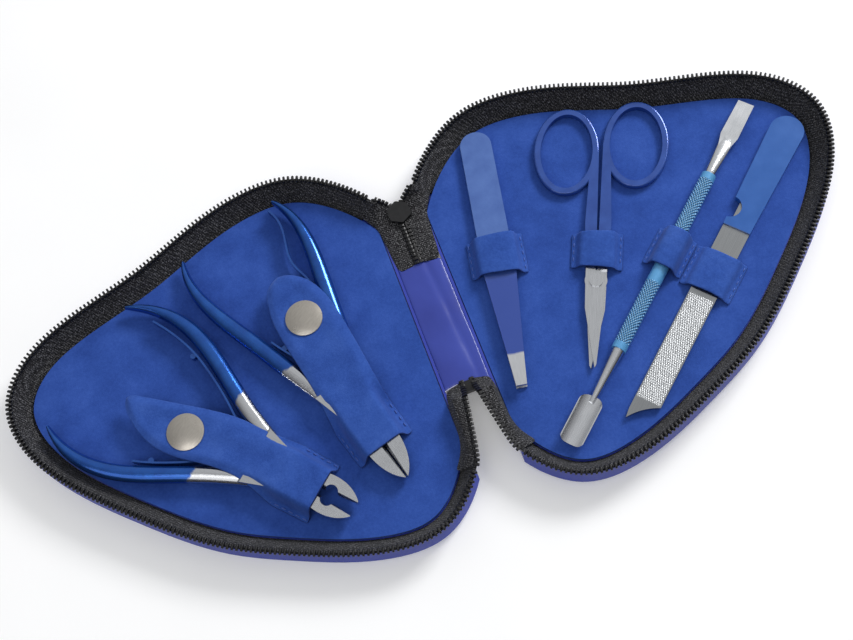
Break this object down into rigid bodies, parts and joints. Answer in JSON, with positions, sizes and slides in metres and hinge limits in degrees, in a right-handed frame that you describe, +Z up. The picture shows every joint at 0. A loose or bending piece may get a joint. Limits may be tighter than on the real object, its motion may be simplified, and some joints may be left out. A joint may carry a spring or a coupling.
{
  "type": "pedicure set",
  "caption": "Heart-shaped zip case opened flat, holding cuticle nippers, tweezers, scissors, a cuticle pusher and a nail file under leather flaps and loops.",
  "frame": {"origin": "on the table plane under the middle of the opened case, on the spine's centre line", "axes": "+X from the nipper leaf towards the tool leaf, +Y along the spine towards the zip slider, +Z up from the table out of the trays"},
  "size_m": [0.268, 0.1278, 0.0108],
  "materials": {
    "vinyl": "glossy royal blue vinyl",
    "board": "grey stiffening board",
    "suede": "bright blue suede lining",
    "strip": "smooth blue violet strip",
    "tape": "black woven zip tape",
    "teeth": "black moulded teeth",
    "zip_metal": "black enamel",
    "nipper_steel": "bright steel jaws, blue coated handles",
    "pin_steel": "ground flush",
    "spring_steel": "blue coated spring steel",
    "leather": "blue suede, light stitching",
    "snap_metal": "polished nickel",
    "light_blue": "satin light blue coating",
    "blue_aluminium": "light blue anodised, knurled",
    "polished_steel": "polished",
    "screw_metal": "polished slotted screw",
    "file_blue": "blue lacquer",
    "file_steel": "diamond cut steel"
  },
  "bodies": {
    "left_leaf": {"left_cover": "vinyl", "left_board": "board", "left_lining": "suede", "left_zip_tape": "tape", "left_zip_teeth": "teeth", "nipper_a_sleeve": "leather", "nipper_b_sleeve": "leather", "nipper_a_snap_stud": "snap_metal", "nipper_b_snap_stud": "snap_metal"},
    "spine": {"spine_strip": "strip", "far_gusset": "tape", "near_gusset": "tape", "closed_zip_chain": "teeth", "bottom_stop": "teeth"},
    "right_leaf": {"right_cover": "vinyl", "right_board": "board", "right_lining": "suede", "right_zip_tape": "tape", "right_zip_teeth": "teeth", "tweezers_loop": "leather", "scissors_loop": "leather", "pusher_loop": "leather", "file_loop": "leather"},
    "slider": {"zip_slider": "zip_metal"},
    "pull_tab": {"zip_pull_tab": "zip_metal"},
    "nipper_a": {"nipper_a_pin": "pin_steel"},
    "nipper_a_upper": {"nipper_a_upper_half": "nipper_steel", "nipper_a_upper_spring": "spring_steel"},
    "nipper_a_lower": {"nipper_a_lower_half": "nipper_steel", "nipper_a_lower_spring": "spring_steel"},
    "flap_a": {"nipper_a_flap": "leather", "nipper_a_snap_cap": "snap_metal", "nipper_a_snap_socket": "snap_metal"},
    "nipper_b": {"nipper_b_pin": "pin_steel"},
    "nipper_b_upper": {"nipper_b_upper_half": "nipper_steel", "nipper_b_upper_spring": "spring_steel"},
    "nipper_b_lower": {"nipper_b_lower_half": "nipper_steel", "nipper_b_lower_spring": "spring_steel"},
    "flap_b": {"nipper_b_flap": "leather", "nipper_b_snap_cap": "snap_metal", "nipper_b_snap_socket": "snap_metal"},
    "tweezers": {"tweezers_lower_arm": "light_blue"},
    "tweezers_upper": {"tweezers_upper_arm": "light_blue"},
    "scissors": {"scissors_upper_half": "light_blue", "scissors_screw": "screw_metal"},
    "scissors_lower": {"scissors_lower_half": "light_blue"},
    "pusher": {"pusher_handle": "blue_aluminium", "pusher_blade": "polished_steel", "pusher_spoon": "polished_steel"},
    "file": {"file_handle": "file_blue", "file_blade": "file_steel"}
  },
  "joints": [
    {"name": "left_fold", "type": "hinge", "parent": "left_leaf", "child": "spine", "pos_m": [-0.007, 0.00288, 0.0032], "axis": [0, 1, 0], "range_deg": [-90, 0]},
    {"name": "right_fold", "type": "hinge", "parent": "spine", "child": "right_leaf", "pos_m": [0.007, 0.00288, 0.0032], "axis": [0, 1, 0], "range_deg": [-90, 0]},
    {"name": "zip_slide", "type": "slide", "parent": "spine", "child": "slider", "axis": [0, -1, 0], "range_m": [0, 0.011], "deforming": ["closed_zip_chain"]},
    {"name": "pull_tab_swing", "type": "hinge", "parent": "slider", "child": "pull_tab", "pos_m": [0, 0.03808, 0.0009], "axis": [1, 0, 0], "range_deg": [0, 90]},
    {"name": "nipper_a_lift", "type": "slide", "parent": "left_leaf", "child": "nipper_a", "axis": [0, 0, 1], "range_m": [0, 0.06], "deforming": ["nipper_a_sleeve"]},
    {"name": "nipper_a_open", "type": "hinge", "parent": "nipper_a", "child": "nipper_a_upper", "pos_m": [-0.0327, -0.02022, 0.0065], "axis": [0, 0, 1], "range_deg": [0, 3.6], "deforming": ["nipper_a_upper_spring", "nipper_a_lower_spring"]},
    {"name": "nipper_a_open_lower", "type": "hinge", "parent": "nipper_a", "child": "nipper_a_lower", "pos_m": [-0.0327, -0.02022, 0.0065], "axis": [0, 0, 1], "range_deg": [-3.6, 0]},
    {"name": "flap_a_lift", "type": "hinge", "parent": "left_leaf", "child": "flap_a", "pos_m": [-0.03278, -0.01993, 0.0105], "axis": [0.9637, 0.267, 0], "range_deg": [0, 115], "deforming": ["nipper_a_flap"]},
    {"name": "nipper_b_lift", "type": "slide", "parent": "left_leaf", "child": "nipper_b", "axis": [0, 0, 1], "range_m": [0, 0.075], "deforming": ["nipper_b_sleeve"]},
    {"name": "nipper_b_squeeze", "type": "hinge", "parent": "nipper_b", "child": "nipper_b_upper", "pos_m": [-0.0584, -0.02982, 0.0065], "axis": [0, 0, -1], "range_deg": [0, 4.5], "stiffness_Nm_per_rad": 0.4, "deforming": ["nipper_b_upper_spring", "nipper_b_lower_spring"]},
    {"name": "nipper_b_squeeze_lower", "type": "hinge", "parent": "nipper_b", "child": "nipper_b_lower", "pos_m": [-0.0584, -0.02982, 0.0065], "axis": [0, 0, -1], "range_deg": [-4.5, 0]},
    {"name": "flap_b_lift", "type": "hinge", "parent": "left_leaf", "child": "flap_b", "pos_m": [-0.05991, -0.02808, 0.0105], "axis": [0.7554, 0.6553, 0], "range_deg": [0, 115], "deforming": ["nipper_b_flap"]},
    {"name": "tweezers_lift", "type": "slide", "parent": "right_leaf", "child": "tweezers", "axis": [0, 0, 1], "range_m": [0, 0.045], "deforming": ["tweezers_loop"]},
    {"name": "tweezers_squeeze", "type": "hinge", "parent": "tweezers", "child": "tweezers_upper", "pos_m": [0.0316, 0.05548, 0.0044], "axis": [-0.9805, 0.1966, 0], "range_deg": [-1.1, 2.5], "stiffness_Nm_per_rad": 0.3},
    {"name": "scissors_lift", "type": "slide", "parent": "right_leaf", "child": "scissors", "axis": [0, 0, 1], "range_m": [0, 0.055], "deforming": ["scissors_loop"]},
    {"name": "scissors_open", "type": "hinge", "parent": "scissors", "child": "scissors_lower", "pos_m": [0.0476, -0.00702, 0.00445], "axis": [0, 0, -1], "range_deg": [0, 13]},
    {"name": "pusher_lift", "type": "slide", "parent": "right_leaf", "child": "pusher", "axis": [0, 0, 1], "range_m": [0, 0.065], "deforming": ["pusher_loop"]},
    {"name": "file_lift", "type": "slide", "parent": "right_leaf", "child": "file", "axis": [0, 0, 1], "range_m": [0, 0.075], "deforming": ["file_loop"]}
  ],
  "couplings": [
    {"joint": "left_fold", "follows": "right_fold", "ratio": 1},
    {"joint": "nipper_a_open_lower", "follows": "nipper_a_open", "ratio": -1},
    {"joint": "nipper_b_squeeze_lower", "follows": "nipper_b_squeeze", "ratio": -1}
  ]
}
